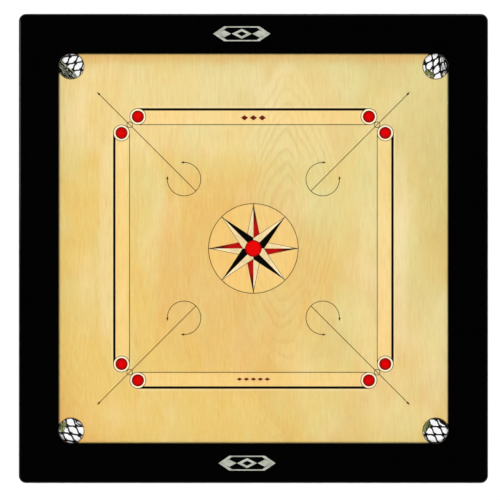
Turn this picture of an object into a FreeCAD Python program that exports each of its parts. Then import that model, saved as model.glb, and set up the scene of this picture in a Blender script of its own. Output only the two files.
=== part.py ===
import FreeCAD, Part
import math
import os

# A carrom board: a plywood playing panel in a black mitred frame, with a net bag under each corner pocket.
# Millimetres, +Z up. The origin is the board's centre on the surface that it stands on,
# +X is the player's right and +Y is the far side. Front is -Y and back is +Y.

# ---------------------------------------------------------------- driving dimensions

# frame
PLAYING_SIDE = 735.0            # clear side of the playing surface between the rails
RAIL_WIDTH = 76.2
RAIL_HEIGHT = 50.0
RAIL_RISE = 20.0                # rail top above the playing surface
OUTER_CORNER_RADIUS = 14.0
OUTER_EDGE_RADIUS = 5.0
INNER_EDGE_RADIUS = 2.0
FOOT_EDGE_RADIUS = 1.5
REBATE_DEPTH = 10.0             # how far the panel's edge tucks under each rail

# mitre splines
SPLINE_THICKNESS = 4.0
SPLINE_ACROSS = 40.0
SPLINE_ALONG = 36.0
SPLINE_MIDDLE = 412.0           # x and y of a spline's centre
SPLINE_HEIGHT = 25.0

# playing panel and its pockets
PANEL_THICKNESS = 12.0
PANEL_GAP = 0.3
POCKET_DIAMETER = 48.0
POCKET_INSET = 21.5             # pocket centre to the inner face of each rail
POCKET_EASE = 0.6

# wooden strips under the panel
CLEAT_WIDTH = 20.0
CLEAT_HEIGHT = 14.0
CLEAT_LENGTH = 620.0
BATTEN_WIDTH = 38.0
BATTEN_HEIGHT = 15.0
BATTEN_OFFSET = 125.0           # batten centre line from the board's centre line

# nets and staples
NET_RIM_RADIUS = 27.5
NET_WALL = 1.6
NET_BULGE_RADIUS = 30.5
NET_FLOOR_RADIUS = 25.0
NET_FLOOR_Z = 1.0
NET_SEAM = 0.1                  # between a net's bottom and its side
STAPLES_PER_NET = 8
STAPLE_SPAN = 4.0
STAPLE_WIRE = 0.8
STAPLE_LEG = 6.0

# wood screws
SCREW_HEAD_RADIUS = 3.75
SCREW_HEAD_DEPTH = 2.2
SCREW_SHANK_RADIUS = 1.75
SCREW_POINT = 4.0
SCREW_RECESS_SPAN = 4.6
SCREW_RECESS_SLOT = 0.9
SCREW_RECESS_DEPTH = 1.5
BATTEN_SCREW_LENGTH = 22.0
BATTEN_SCREW_NEAR = 205.0       # along a batten, from its middle
BATTEN_SCREW_FAR = 307.0
CLEAT_SCREW_LENGTH = 38.0

# printed markings
INK = 0.15                      # height of the printed film
BASE_LINE_INSET = 101.5         # rail's inner face to the outer edge of the bold base line
BASE_RUN = 470.0                # outer length of a base, over its two end circles
BASE_CIRCLE_DIAMETER = 31.8
BASE_DISC_DIAMETER = 23.0
BOLD_LINE = 4.5
FINE_LINE = 1.2
OUTLINE = 0.8
OUTER_CIRCLE_DIAMETER = 170.0
CENTRE_DISC_DIAMETER = 31.8
STAR_WAIST_RADIUS = 20.5
ARROW_TIP = 297.0               # x and y of a corner arrow's tip
ARROW_HEAD_LENGTH = 7.5
ARROW_HEAD_WIDTH = 4.2
ARC_RADIUS = 31.75              # the three-quarter arc on a corner arrow's tail
ARC_MIDDLE = 131.45             # x and y of its centre
ARC_HEAD_LENGTH = 6.4

# plain silver emblems on the front and back rails, and small ornaments in the bases
EMBLEM_LENGTH = 108.0
EMBLEM_WIDTH = 28.0
EMBLEM_SHOULDER = 0.62          # share of the length where the emblem is full width
EMBLEM_BORDER = 2.2
EMBLEM_BIG_DIAMOND = 19.0       # height of the middle diamond, which is twice as long
EMBLEM_SMALL_DIAMOND = 13.5
EMBLEM_DIAMOND_SPACING = 33.5
EMBLEM_SHIFT_BACK = -22.0       # from the middle of its rail
EMBLEM_SHIFT_FRONT = -12.0
ORNAMENT_BACK_DIAMOND = (14.0, 10.0)
ORNAMENT_BACK_COUNT = 3
ORNAMENT_FRONT_DIAMOND = (11.0, 6.0)
ORNAMENT_FRONT_COUNT = 5
ORNAMENT_PITCH = 1.2            # spacing as a multiple of a diamond's length

# ---------------------------------------------------------------- derived places

HALF_PLAY = PLAYING_SIDE / 2
HALF_BOARD = HALF_PLAY + RAIL_WIDTH
HALF_REBATE = HALF_PLAY + REBATE_DEPTH
SURFACE_Z = RAIL_HEIGHT - RAIL_RISE
UNDERSIDE_Z = SURFACE_Z - PANEL_THICKNESS
POCKET = HALF_PLAY - POCKET_INSET
POCKET_RADIUS = POCKET_DIAMETER / 2
BASE_RADIUS = BASE_CIRCLE_DIAMETER / 2
BASE_EDGE = HALF_PLAY - BASE_LINE_INSET
BASE_ACROSS = BASE_EDGE - BASE_RADIUS
BASE_ALONG = BASE_RUN / 2 - BASE_RADIUS
STAR_TIP_RADIUS = OUTER_CIRCLE_DIAMETER / 2 - FINE_LINE / 2
UP = FreeCAD.Vector(0, 0, 1)
CENTRE = FreeCAD.Vector(0, 0, 0)
CORNER_NAMES = ("back_right", "back_left", "front_left", "front_right")
SIDE_NAMES = ("right", "back", "left", "front")
BATTEN_NAMES = ("lengthwise_left", "lengthwise_right", "crosswise_front", "crosswise_back")

# ---------------------------------------------------------------- shape helpers


def box(x0, x1, y0, y1, z0, z1):
    """A block between two corners."""
    return Part.makeBox(x1 - x0, y1 - y0, z1 - z0, FreeCAD.Vector(x0, y0, z0))


def square(half, z0, z1):
    """A square block centred on the board's axis."""
    return box(-half, half, -half, half, z0, z1)


def cylinder(radius, x, y, z0, z1):
    """An upright cylinder."""
    return Part.makeCylinder(radius, z1 - z0, FreeCAD.Vector(x, y, z0))


def prism(points, z0, z1):
    """An upright block on a polygon of (x, y) points."""
    corners = [FreeCAD.Vector(x, y, z0) for x, y in points]
    outline = Part.makePolygon(corners + corners[:1])
    return Part.Face(outline).extrude(FreeCAD.Vector(0, 0, z1 - z0))


def turned(shape, degrees):
    """A copy turned about the board's upright axis."""
    copy = shape.copy()
    copy.rotate(CENTRE, UP, degrees)
    return copy


def moved(shape, x, y, z=0.0):
    """A copy moved by a distance."""
    copy = shape.copy()
    copy.translate(FreeCAD.Vector(x, y, z))
    return copy


def four(shape):
    """The shape at each quarter turn, starting with itself."""
    return [turned(shape, 90.0 * quarter) for quarter in range(4)]


def polar(radius, degrees):
    """The (x, y) point at an angle, anticlockwise from +X."""
    angle = math.radians(degrees)
    return radius * math.cos(angle), radius * math.sin(angle)


def fused(shapes):
    """One shape from several that touch or overlap."""
    whole = shapes[0].multiFuse(shapes[1:]) if len(shapes) > 1 else shapes[0]
    return whole.removeSplitter()


def write(node, shapes):
    """Write one named piece, or one group of like pieces, to its own file."""
    solids = [solid for shape in shapes for solid in shape.Solids]
    whole = solids[0] if len(solids) == 1 else Part.makeCompound(solids)
    whole.exportStep(os.path.join("parts", node + ".step"))


# ---------------------------------------------------------------- screws and staples


def screw(length):
    """A countersunk wood screw pointing up from the origin: the plain solid, without its recess."""
    head = Part.makeCone(SCREW_HEAD_RADIUS, SCREW_SHANK_RADIUS, SCREW_HEAD_DEPTH)
    shank_length = length - SCREW_POINT
    shank = Part.makeCylinder(SCREW_SHANK_RADIUS, shank_length)
    point = Part.makeCone(SCREW_SHANK_RADIUS, 0.0, SCREW_POINT, FreeCAD.Vector(0, 0, shank_length))
    return fused([head, shank, point])


def recess():
    """The cross recess in a screw's head, at the origin."""
    span = SCREW_RECESS_SPAN / 2
    slot = SCREW_RECESS_SLOT / 2
    bar = box(-span, span, -slot, slot, 0.0, SCREW_RECESS_DEPTH)
    return fused([bar, turned(bar, 90.0)])


def batten_screw_places():
    """Screws up through the battens: five along each one, and one where two battens cross."""
    near = BATTEN_SCREW_NEAR
    far = BATTEN_SCREW_FAR
    along = [(BATTEN_OFFSET, y) for y in (-far, -near, 0.0, near, far)]
    along += [(-x, y) for x, y in along]
    across = [(y, x) for x, y in along]
    both_sides = (-BATTEN_OFFSET, BATTEN_OFFSET)
    crossings = [(x, y) for x in both_sides for y in both_sides]
    return along + across + crossings


def batten_screws(detail):
    """All batten screws, plain for cutting their holes or with their recesses."""
    plain = screw(BATTEN_SCREW_LENGTH)
    shape = plain.cut(recess()) if detail else plain
    z = UNDERSIDE_Z - BATTEN_HEIGHT
    return [moved(shape, x, y, z) for x, y in batten_screw_places()]


def cleat_screws(detail):
    """Screws out through the cleats into the rails, four on each side."""
    plain = screw(CLEAT_SCREW_LENGTH)
    shape = plain.cut(recess()) if detail else plain.copy()
    shape.rotate(CENTRE, FreeCAD.Vector(0, 1, 0), 90.0)
    x = HALF_REBATE - CLEAT_WIDTH
    z = UNDERSIDE_Z - CLEAT_HEIGHT / 2
    spacing = CLEAT_LENGTH / 4
    right = [moved(shape, x, (place - 1.5) * spacing, z) for place in range(4)]
    return [turned(one, 90.0 * quarter) for quarter in range(4) for one in right]


def staples():
    """Wire staples over each net's rim, with their legs up in the panel."""
    crown_z = UNDERSIDE_Z - NET_WALL - STAPLE_WIRE
    inner = NET_RIM_RADIUS - STAPLE_SPAN / 2
    outer = NET_RIM_RADIUS + STAPLE_SPAN / 2
    half_wire = STAPLE_WIRE / 2
    top = UNDERSIDE_Z + STAPLE_LEG
    crown = box(inner, outer, -half_wire, half_wire, crown_z, crown_z + STAPLE_WIRE)
    inner_leg = box(inner, inner + STAPLE_WIRE, -half_wire, half_wire, crown_z, top)
    outer_leg = box(outer - STAPLE_WIRE, outer, -half_wire, half_wire, crown_z, top)
    one = fused([crown, inner_leg, outer_leg])
    pitch = 360.0 / STAPLES_PER_NET
    ring = [turned(one, pitch * (place + 0.5)) for place in range(STAPLES_PER_NET)]
    corner = [moved(staple, POCKET, POCKET) for staple in ring]
    return [turned(staple, 90.0 * quarter) for quarter in range(4) for staple in corner]


# ---------------------------------------------------------------- frame and panel


def edges_at(shape, z, inside):
    """The edges in the level plane at z, those of the inner outline or those of the outer one."""
    chosen = []
    for edge in shape.Edges:
        bounds = edge.BoundBox
        level = abs(bounds.ZMin - z) < 1e-4 and abs(bounds.ZMax - z) < 1e-4
        reach = max(abs(bounds.XMin), abs(bounds.XMax), abs(bounds.YMin), abs(bounds.YMax))
        inner = reach < HALF_REBATE + 1.0
        if level and inner == inside:
            chosen.append(edge)
    return chosen


def pocket_bores(z0, z1):
    """The four round pocket bores between two heights."""
    return four(cylinder(POCKET_RADIUS, POCKET, POCKET, z0, z1))


def frame_ring():
    """The whole frame before it is parted at the mitres."""
    ring = square(HALF_BOARD, 0.0, RAIL_HEIGHT)
    upright = [edge for edge in ring.Edges if edge.BoundBox.ZLength > RAIL_HEIGHT / 2]
    ring = ring.makeFillet(OUTER_CORNER_RADIUS, upright)
    # The rails fill each inner corner outside the round pocket.
    corner = box(POCKET, HALF_PLAY, POCKET, HALF_PLAY, SURFACE_Z, RAIL_HEIGHT)
    recessed = square(HALF_PLAY, SURFACE_Z, RAIL_HEIGHT).cut(fused(four(corner)))
    rebate = square(HALF_REBATE, 0.0, SURFACE_Z)
    ring = ring.cut([recessed, rebate] + pocket_bores(SURFACE_Z, RAIL_HEIGHT))
    ring = ring.removeSplitter()
    ring = ring.makeFillet(OUTER_EDGE_RADIUS, edges_at(ring, RAIL_HEIGHT, inside=False))
    ring = ring.makeFillet(INNER_EDGE_RADIUS, edges_at(ring, RAIL_HEIGHT, inside=True))
    return ring.makeFillet(FOOT_EDGE_RADIUS, edges_at(ring, 0.0, inside=False))


def mitre_splines():
    """A hardwood slip across each mitre, lying level inside the joint."""
    along = SPLINE_ALONG / 2
    across = SPLINE_ACROSS / 2
    low = SPLINE_HEIGHT - SPLINE_THICKNESS / 2
    slip = turned(box(-along, along, -across, across, low, low + SPLINE_THICKNESS), 45.0)
    return four(moved(slip, SPLINE_MIDDLE, SPLINE_MIDDLE))


def rails():
    """The four mitred rails, with the slots for the splines and the holes for the cleat screws."""
    reach = HALF_BOARD + RAIL_WIDTH
    wedge = prism([(0.0, 0.0), (reach, -reach), (reach, reach)], 0.0, RAIL_HEIGHT)
    ring = frame_ring().cut(mitre_splines() + cleat_screws(detail=False))
    return [ring.common(part).Solids[0] for part in four(wedge)]


def playing_panel():
    """The plywood panel with its four pockets, and holes for the screws and staples below."""
    panel = square(HALF_REBATE - PANEL_GAP, UNDERSIDE_Z, SURFACE_Z)
    panel = panel.cut(pocket_bores(UNDERSIDE_Z, SURFACE_Z))
    upper = edges_at(panel, SURFACE_Z, inside=True)
    rims = [edge for edge in upper if edge.Curve.TypeId == "Part::GeomCircle"]
    panel = panel.makeChamfer(POCKET_EASE, rims)
    return panel.cut(batten_screws(detail=False) + staples())


def cleats():
    """Strips glued and screwed to the rails, holding the panel up from below."""
    low = UNDERSIDE_Z - CLEAT_HEIGHT
    inner = HALF_REBATE - CLEAT_WIDTH
    strip = box(inner, HALF_REBATE, -CLEAT_LENGTH / 2, CLEAT_LENGTH / 2, low, UNDERSIDE_Z)
    holes = cleat_screws(detail=False)
    return [one.cut(holes) for one in four(strip)]


def battens():
    """Two battens each way under the panel, halved into each other where they cross."""
    low = UNDERSIDE_Z - BATTEN_HEIGHT
    halfway = UNDERSIDE_Z - BATTEN_HEIGHT / 2
    reach = HALF_REBATE - CLEAT_WIDTH
    half = BATTEN_WIDTH / 2
    holes = batten_screws(detail=False)
    lengthwise = []
    crosswise = []
    for side in (-BATTEN_OFFSET, BATTEN_OFFSET):
        up = box(side - half, side + half, -reach, reach, low, UNDERSIDE_Z)
        over = box(-reach, reach, side - half, side + half, low, UNDERSIDE_Z)
        for other in (-BATTEN_OFFSET, BATTEN_OFFSET):
            up = up.cut(box(side - half, side + half, other - half, other + half, low, halfway))
            over = over.cut(box(other - half, other + half, side - half, side + half, halfway, UNDERSIDE_Z))
        lengthwise.append(up.cut(holes))
        crosswise.append(over.cut(holes))
    return lengthwise + crosswise


# ---------------------------------------------------------------- nets


def net_side():
    """The upright part of one net bag, from its rim down to just above the ground."""
    rim = UNDERSIDE_Z - NET_WALL
    inner_rim = NET_RIM_RADIUS - NET_WALL / 2
    outer_rim = NET_RIM_RADIUS + NET_WALL / 2
    middle_z = (rim + NET_FLOOR_Z) / 2
    foot = NET_FLOOR_RADIUS - NET_WALL / 2
    foot_top = NET_FLOOR_Z + NET_WALL
    outside = Part.Arc(
        FreeCAD.Vector(outer_rim, 0, rim),
        FreeCAD.Vector(NET_BULGE_RADIUS, 0, middle_z),
        FreeCAD.Vector(NET_FLOOR_RADIUS, 0, NET_FLOOR_Z),
    )
    inside = Part.Arc(
        FreeCAD.Vector(foot, 0, foot_top),
        FreeCAD.Vector(NET_BULGE_RADIUS - NET_WALL, 0, middle_z),
        FreeCAD.Vector(inner_rim, 0, rim),
    )
    profile = [
        Part.makeLine((inner_rim, 0, rim), (inner_rim, 0, UNDERSIDE_Z)),
        Part.makeLine((inner_rim, 0, UNDERSIDE_Z), (outer_rim, 0, UNDERSIDE_Z)),
        Part.makeLine((outer_rim, 0, UNDERSIDE_Z), (outer_rim, 0, rim)),
        outside.toShape(),
        Part.makeLine((NET_FLOOR_RADIUS, 0, NET_FLOOR_Z), (foot, 0, NET_FLOOR_Z)),
        Part.makeLine((foot, 0, NET_FLOOR_Z), (foot, 0, foot_top)),
        inside.toShape(),
    ]
    return Part.Face(Part.Wire(profile)).revolve(CENTRE, UP, 360.0)


def net_bottom():
    """The slumped bottom of one net bag, laced into its side."""
    radius = NET_FLOOR_RADIUS - NET_WALL / 2 - NET_SEAM
    return cylinder(radius, 0.0, 0.0, NET_FLOOR_Z, NET_FLOOR_Z + NET_WALL)


def nets():
    """The four net bags, each of a side and a bottom, notched for the staples that hold its rim."""
    holders = staples()
    sides = [side.cut(holders) for side in four(moved(net_side(), POCKET, POCKET))]
    bottoms = four(moved(net_bottom(), POCKET, POCKET))
    return [[side, bottom] for side, bottom in zip(sides, bottoms)]


# ---------------------------------------------------------------- printed markings


def film(points):
    """A printed patch on the playing surface."""
    return prism(points, SURFACE_Z, SURFACE_Z + INK)


def spot(diameter, x, y):
    """A printed round spot."""
    return cylinder(diameter / 2, x, y, SURFACE_Z, SURFACE_Z + INK)


def hoop(diameter, width, x, y):
    """A printed circle, measured over the outside of its line."""
    return spot(diameter, x, y).cut(spot(diameter - 2 * width, x, y))


def arrow_head(x, y, degrees, length):
    """A solid arrow head whose tip is at (x, y)."""
    half = ARROW_HEAD_WIDTH / 2
    head = film([(0.0, 0.0), (-length, half), (-length, -half)])
    return moved(turned(head, degrees), x, y)


def base_circle_places():
    """The centres of the eight base circles."""
    pair = [(BASE_ACROSS, BASE_ALONG), (BASE_ALONG, BASE_ACROSS)]
    return [(x * right, y * back) for x, y in pair for right in (1, -1) for back in (1, -1)]


def base_lines(outer, width):
    """Four lines parallel to the rails, each running from base circle to base circle."""
    inner = outer - width
    line = film([(inner, -BASE_ALONG), (outer, -BASE_ALONG), (outer, BASE_ALONG), (inner, BASE_ALONG)])
    ends = [spot(BASE_CIRCLE_DIAMETER, x, y) for x, y in base_circle_places()]
    return [one.cut(ends) for one in four(line)]


def gap_circles():
    """A small circle in each gap between two base circles, touching both."""
    middle = (BASE_ACROSS + BASE_ALONG) / 2
    spacing = math.sqrt(2.0) * (BASE_ACROSS - BASE_ALONG)
    return four(hoop(spacing - BASE_CIRCLE_DIAMETER, FINE_LINE, middle, middle))


def corner_arrows():
    """A diagonal arrow to each pocket, with a three-quarter arc on its tail."""
    tail = math.sqrt(2.0) * ARC_MIDDLE - ARC_RADIUS
    tip = math.sqrt(2.0) * ARROW_TIP
    shaft_end = tip - ARROW_HEAD_LENGTH / 2
    half = FINE_LINE / 2
    shaft = film([(tail, -half), (shaft_end, -half), (shaft_end, half), (tail, half)])
    arc = hoop(2 * ARC_RADIUS + FINE_LINE, FINE_LINE, ARC_MIDDLE, ARC_MIDDLE)
    reach = 2 * ARC_RADIUS
    mouth = film([(0.0, 0.0), (reach, 0.0), (reach, reach), (0.0, reach)])
    arc = arc.cut(moved(mouth, ARC_MIDDLE, ARC_MIDDLE))
    end = ARC_MIDDLE + ARC_RADIUS
    arrow = fused([
        turned(shaft, 45.0),
        arrow_head(ARROW_TIP, ARROW_TIP, 45.0, ARROW_HEAD_LENGTH),
        arc,
        arrow_head(end, ARC_MIDDLE + ARC_HEAD_LENGTH, 90.0, ARC_HEAD_LENGTH),
        arrow_head(ARC_MIDDLE + ARC_HEAD_LENGTH, end, 0.0, ARC_HEAD_LENGTH),
    ])
    return [one.cut(gap_circles()) for one in four(arrow)]


def star(first_arm):
    """One four-armed star: for each arm, its near half, its far half and the far half's outline."""
    near = []
    far = []
    outlines = []
    for quarter in range(4):
        angle = first_arm + 90.0 * quarter
        tip = polar(STAR_TIP_RADIUS, angle)
        waist_near = polar(STAR_WAIST_RADIUS, angle - 45.0)
        waist_far = polar(STAR_WAIST_RADIUS, angle + 45.0)
        side = math.dist(tip, waist_far)
        inward = ((tip[1] - waist_far[1]) / side * OUTLINE, (waist_far[0] - tip[0]) / side * OUTLINE)
        half = film([(0.0, 0.0), tip, waist_far])
        strip = [tip, waist_far, (waist_far[0] + inward[0], waist_far[1] + inward[1])]
        strip += [(tip[0] + inward[0], tip[1] + inward[1])]
        near.append(film([(0.0, 0.0), waist_near, tip]))
        outlines.append(half.common(film(strip)))
        far.append(half.cut(film(strip)))
    return near, far, outlines


def star_films():
    """The two stacked stars round the centre disc, as four inks: black, red, pale and outline."""
    hub = spot(CENTRE_DISC_DIAMETER, 0.0, 0.0)
    top_near, top_far, top_lines = star(45.0)
    low_near, low_far, low_lines = star(0.0)
    cover = [hub] + top_near + top_far + top_lines
    black = [one.cut(hub) for one in top_near]
    red = [one.cut(cover) for one in low_near]
    pale = [one.cut(hub) for one in top_far] + [one.cut(cover) for one in low_far]
    lines = [one.cut(hub) for one in top_lines] + [one.cut(cover) for one in low_lines]
    return black, red, pale, lines


def diamond(length, width, x, y, z):
    """A printed diamond, longest along X, at a height."""
    corners = [(x - length / 2, y), (x, y - width / 2), (x + length / 2, y), (x, y + width / 2)]
    return prism(corners, z, z + INK)


def emblem_outline(length, width, x, y):
    """A long six-sided plaque shape with pointed ends, on top of a rail."""
    tip = length / 2
    shoulder = tip * EMBLEM_SHOULDER
    half = width / 2
    upper = [(tip, 0.0), (shoulder, half), (-shoulder, half)]
    lower = [(-along, -up) for along, up in upper]
    return prism([(x + along, y + up) for along, up in upper + lower], RAIL_HEIGHT, RAIL_HEIGHT + INK)


def rail_emblem(x, y):
    """A silver bordered plaque with a row of three diamonds."""
    border = emblem_outline(EMBLEM_LENGTH, EMBLEM_WIDTH, x, y)
    taper = 2.0 * EMBLEM_BORDER * EMBLEM_LENGTH / EMBLEM_WIDTH
    inside = emblem_outline(EMBLEM_LENGTH - taper, EMBLEM_WIDTH - 2 * EMBLEM_BORDER, x, y)
    big = EMBLEM_BIG_DIAMOND
    small = EMBLEM_SMALL_DIAMOND
    spacing = EMBLEM_DIAMOND_SPACING
    row = [
        diamond(2.0 * small, small, x - spacing, y, RAIL_HEIGHT),
        diamond(2.0 * big, big, x, y, RAIL_HEIGHT).cut(diamond(big, big / 2, x, y, RAIL_HEIGHT)),
        diamond(2.0 * small, small, x + spacing, y, RAIL_HEIGHT),
    ]
    return [border.cut(inside)] + row


def base_ornament(count, size, y):
    """A row of small diamonds inside one base, between its two lines."""
    length, width = size
    pitch = ORNAMENT_PITCH * length
    start = -(count - 1) / 2
    return [diamond(length, width, (start + place) * pitch, y, SURFACE_Z) for place in range(count)]


# ---------------------------------------------------------------- the pieces

os.makedirs("parts", exist_ok=True)

write("playing_panel", [playing_panel()])
for name, rail in zip(SIDE_NAMES, rails()):
    write("frame_rail_" + name, [rail])
for name, cleat in zip(SIDE_NAMES, cleats()):
    write("panel_cleat_" + name, [cleat])
for name, slip in zip(CORNER_NAMES, mitre_splines()):
    write("mitre_spline_" + name, [slip])
for name, batten in zip(BATTEN_NAMES, battens()):
    write("batten_" + name, [batten])
for name, bag in zip(CORNER_NAMES, nets()):
    write("pocket_net_" + name, bag)
write("net_staples", staples())
write("batten_screws", batten_screws(detail=True))
write("cleat_screws", cleat_screws(detail=True))

write("base_lines_bold", base_lines(BASE_EDGE, BOLD_LINE))
write("base_lines_fine", base_lines(BASE_EDGE - BASE_CIRCLE_DIAMETER + FINE_LINE, FINE_LINE))
write("base_circles", [hoop(BASE_CIRCLE_DIAMETER, FINE_LINE, x, y) for x, y in base_circle_places()])
write("base_discs", [spot(BASE_DISC_DIAMETER, x, y) for x, y in base_circle_places()])
write("gap_circles", gap_circles())
write("corner_arrows", corner_arrows())
write("outer_circle", [hoop(OUTER_CIRCLE_DIAMETER + FINE_LINE, FINE_LINE, 0.0, 0.0)])
write("centre_disc", [spot(CENTRE_DISC_DIAMETER, 0.0, 0.0)])
for name, films in zip(("star_black", "star_red", "star_pale", "star_outlines"), star_films()):
    write(name, films)
rail_middle = HALF_PLAY + RAIL_WIDTH / 2
write("rail_emblem_back", rail_emblem(EMBLEM_SHIFT_BACK, rail_middle))
write("rail_emblem_front", rail_emblem(EMBLEM_SHIFT_FRONT, -rail_middle))
base_middle = BASE_EDGE - BOLD_LINE - (BASE_CIRCLE_DIAMETER - BOLD_LINE) / 2
write("base_ornament_back", base_ornament(ORNAMENT_BACK_COUNT, ORNAMENT_BACK_DIAMOND, base_middle))
write("base_ornament_front", base_ornament(ORNAMENT_FRONT_COUNT, ORNAMENT_FRONT_DIAMOND, -base_middle))
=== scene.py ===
import math
import random

import bpy
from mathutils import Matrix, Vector


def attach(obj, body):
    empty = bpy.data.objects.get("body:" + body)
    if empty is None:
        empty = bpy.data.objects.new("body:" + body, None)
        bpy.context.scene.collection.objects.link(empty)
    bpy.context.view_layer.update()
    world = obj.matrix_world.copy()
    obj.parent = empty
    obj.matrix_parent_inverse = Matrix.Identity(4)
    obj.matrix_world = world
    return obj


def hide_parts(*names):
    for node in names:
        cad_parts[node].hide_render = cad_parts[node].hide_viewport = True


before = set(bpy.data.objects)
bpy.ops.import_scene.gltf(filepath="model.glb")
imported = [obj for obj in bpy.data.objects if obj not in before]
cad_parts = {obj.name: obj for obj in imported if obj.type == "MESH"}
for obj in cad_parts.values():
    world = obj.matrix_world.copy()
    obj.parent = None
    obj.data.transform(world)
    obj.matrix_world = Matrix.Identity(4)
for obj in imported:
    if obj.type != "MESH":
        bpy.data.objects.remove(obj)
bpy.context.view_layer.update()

# Looks of a carrom board: procedural materials on every node, and four knotted nets draped by cloth
# simulation. Lengths are in metres in the row frame unless a name ends in _MM. Materials work in millimetres
# in the row frame, with the board's middle at the origin and its back towards +y.

MM = 0.001
TAU = 2 * math.pi
DIAGONAL = 0.7071               # the sine and cosine of 45 degrees
CORNERS = {"back_right": (1, 1), "back_left": (-1, 1), "front_left": (-1, -1), "front_right": (1, -1)}
SIDES = ("right", "back", "left", "front")


def linear(red, green, blue):
    """A linear colour from 0 to 255 display values."""
    made = []
    for value in (red, green, blue):
        v = value / 255
        made.append(v / 12.92 if v <= 0.04045 else ((v + 0.055) / 1.055) ** 2.4)
    return (*made, 1.0)


# ---------------------------------------------------------------- shader helpers


class Term:
    """A number worked out by shader nodes, so that formulas read as formulas."""

    def __init__(self, shade, socket):
        self.shade, self.socket = shade, socket

    def do(self, operation, *others, clamp=False):
        return self.shade.math(operation, self, *others, clamp=clamp)

    def __add__(self, other):
        return self.do("ADD", other)

    __radd__ = __add__

    def __sub__(self, other):
        return self.do("SUBTRACT", other)

    def __rsub__(self, other):
        return self.shade.math("SUBTRACT", other, self)

    def __mul__(self, other):
        return self.do("MULTIPLY", other)

    __rmul__ = __mul__

    def __truediv__(self, other):
        return self.do("DIVIDE", other)

    def __abs__(self):
        return self.do("ABSOLUTE")

    def __pow__(self, other):
        return self.do("POWER", other)

    def sine(self):
        return self.do("SINE")

    def root(self):
        return self.do("SQRT")

    def larger(self, other):
        return self.do("MAXIMUM", other)

    def smaller(self, other):
        return self.do("MINIMUM", other)

    def clamp(self):
        return self.do("ADD", 0.0, clamp=True)

    def rise(self, low, high):
        """0 up to low, 1 from high, smooth between. With low over high it falls instead."""
        if low > high:
            return 1.0 - self.rise(high, low)
        made = self.shade.node("ShaderNodeMapRange", interpolation_type="SMOOTHSTEP")
        self.shade.feed(made.inputs["Value"], self)
        made.inputs["From Min"].default_value = low
        made.inputs["From Max"].default_value = high
        return Term(self.shade, made.outputs["Result"])

    def band(self, middle, half, soft):
        """1 within half of middle, falling to 0 over soft."""
        return abs(self - middle).rise(half + soft, half)


class Shade:
    """One material's node tree around a Principled shader."""

    def __init__(self, name, **sockets):
        self.material = bpy.data.materials.new(name)
        self.material.use_nodes = True
        self.tree = self.material.node_tree
        self.tree.nodes.clear()
        self.surface = self.node("ShaderNodeBsdfPrincipled")
        out = self.node("ShaderNodeOutputMaterial")
        self.tree.links.new(self.surface.outputs[0], out.inputs["Surface"])
        for socket, value in sockets.items():
            self.surface.inputs[socket.replace("_", " ")].default_value = value
        # plain grey where the nodes aren't shown, as in an unbaked export
        self.material.diffuse_color = (0.5, 0.5, 0.5, 1.0)

    def node(self, kind, **settings):
        made = self.tree.nodes.new(kind)
        for key, value in settings.items():
            setattr(made, key, value)
        return made

    def feed(self, socket, value):
        if isinstance(value, Term):
            value = value.socket
        if isinstance(value, bpy.types.NodeSocket):
            self.tree.links.new(value, socket)
        else:
            socket.default_value = value

    def math(self, operation, *values, clamp=False):
        made = self.node("ShaderNodeMath", operation=operation, use_clamp=clamp)
        for socket, value in zip(made.inputs, values):
            self.feed(socket, value)
        return Term(self, made.outputs[0])

    def place(self):
        """x, y and z in millimetres in the row frame."""
        coords = self.node("ShaderNodeTexCoord")
        scaled = self.node("ShaderNodeVectorMath", operation="SCALE")
        self.feed(scaled.inputs[0], coords.outputs["Object"])
        scaled.inputs["Scale"].default_value = 1 / MM
        split = self.node("ShaderNodeSeparateXYZ")
        self.feed(split.inputs[0], scaled.outputs[0])
        return [Term(self, socket) for socket in split.outputs]

    def upward(self):
        """How far the surface faces up, from -1 to 1."""
        geometry = self.node("ShaderNodeNewGeometry")
        split = self.node("ShaderNodeSeparateXYZ")
        self.feed(split.inputs[0], geometry.outputs["Normal"])
        return Term(self, split.outputs["Z"])

    def point(self, x, y, z):
        made = self.node("ShaderNodeCombineXYZ")
        for socket, value in zip(made.inputs, (x, y, z)):
            self.feed(socket, value)
        return made.outputs[0]

    def noise(self, x, y, z, detail=2.0, rough=0.5):
        """Noise from 0 to 1 with one lump per unit of x, y and z."""
        made = self.node("ShaderNodeTexNoise")
        self.feed(made.inputs["Vector"], self.point(x, y, z))
        made.inputs["Scale"].default_value = 1.0
        made.inputs["Detail"].default_value = detail
        made.inputs["Roughness"].default_value = rough
        return Term(self, made.outputs[0])

    def mix(self, share, a, b):
        """Colour a, turning into colour b as share goes from 0 to 1."""
        made = self.node("ShaderNodeMix", data_type="RGBA")
        for socket, value in zip((made.inputs[0], made.inputs[6], made.inputs[7]), (share, a, b)):
            self.feed(socket, value)
        return made.outputs[2]

    def color(self, value):
        self.feed(self.surface.inputs["Base Color"], value)

    def rough(self, value):
        self.feed(self.surface.inputs["Roughness"], value)

    def bump(self, height, strength, depth_mm):
        """Relief from a height of 0 to 1 that stands for depth_mm of wood, cord or metal."""
        made = self.node("ShaderNodeBump")
        made.inputs["Strength"].default_value = strength
        made.inputs["Distance"].default_value = depth_mm * MM
        self.feed(made.inputs["Height"], height)
        self.feed(self.surface.inputs["Normal"], made.outputs[0])


# ---------------------------------------------------------------- the wooden parts

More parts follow.
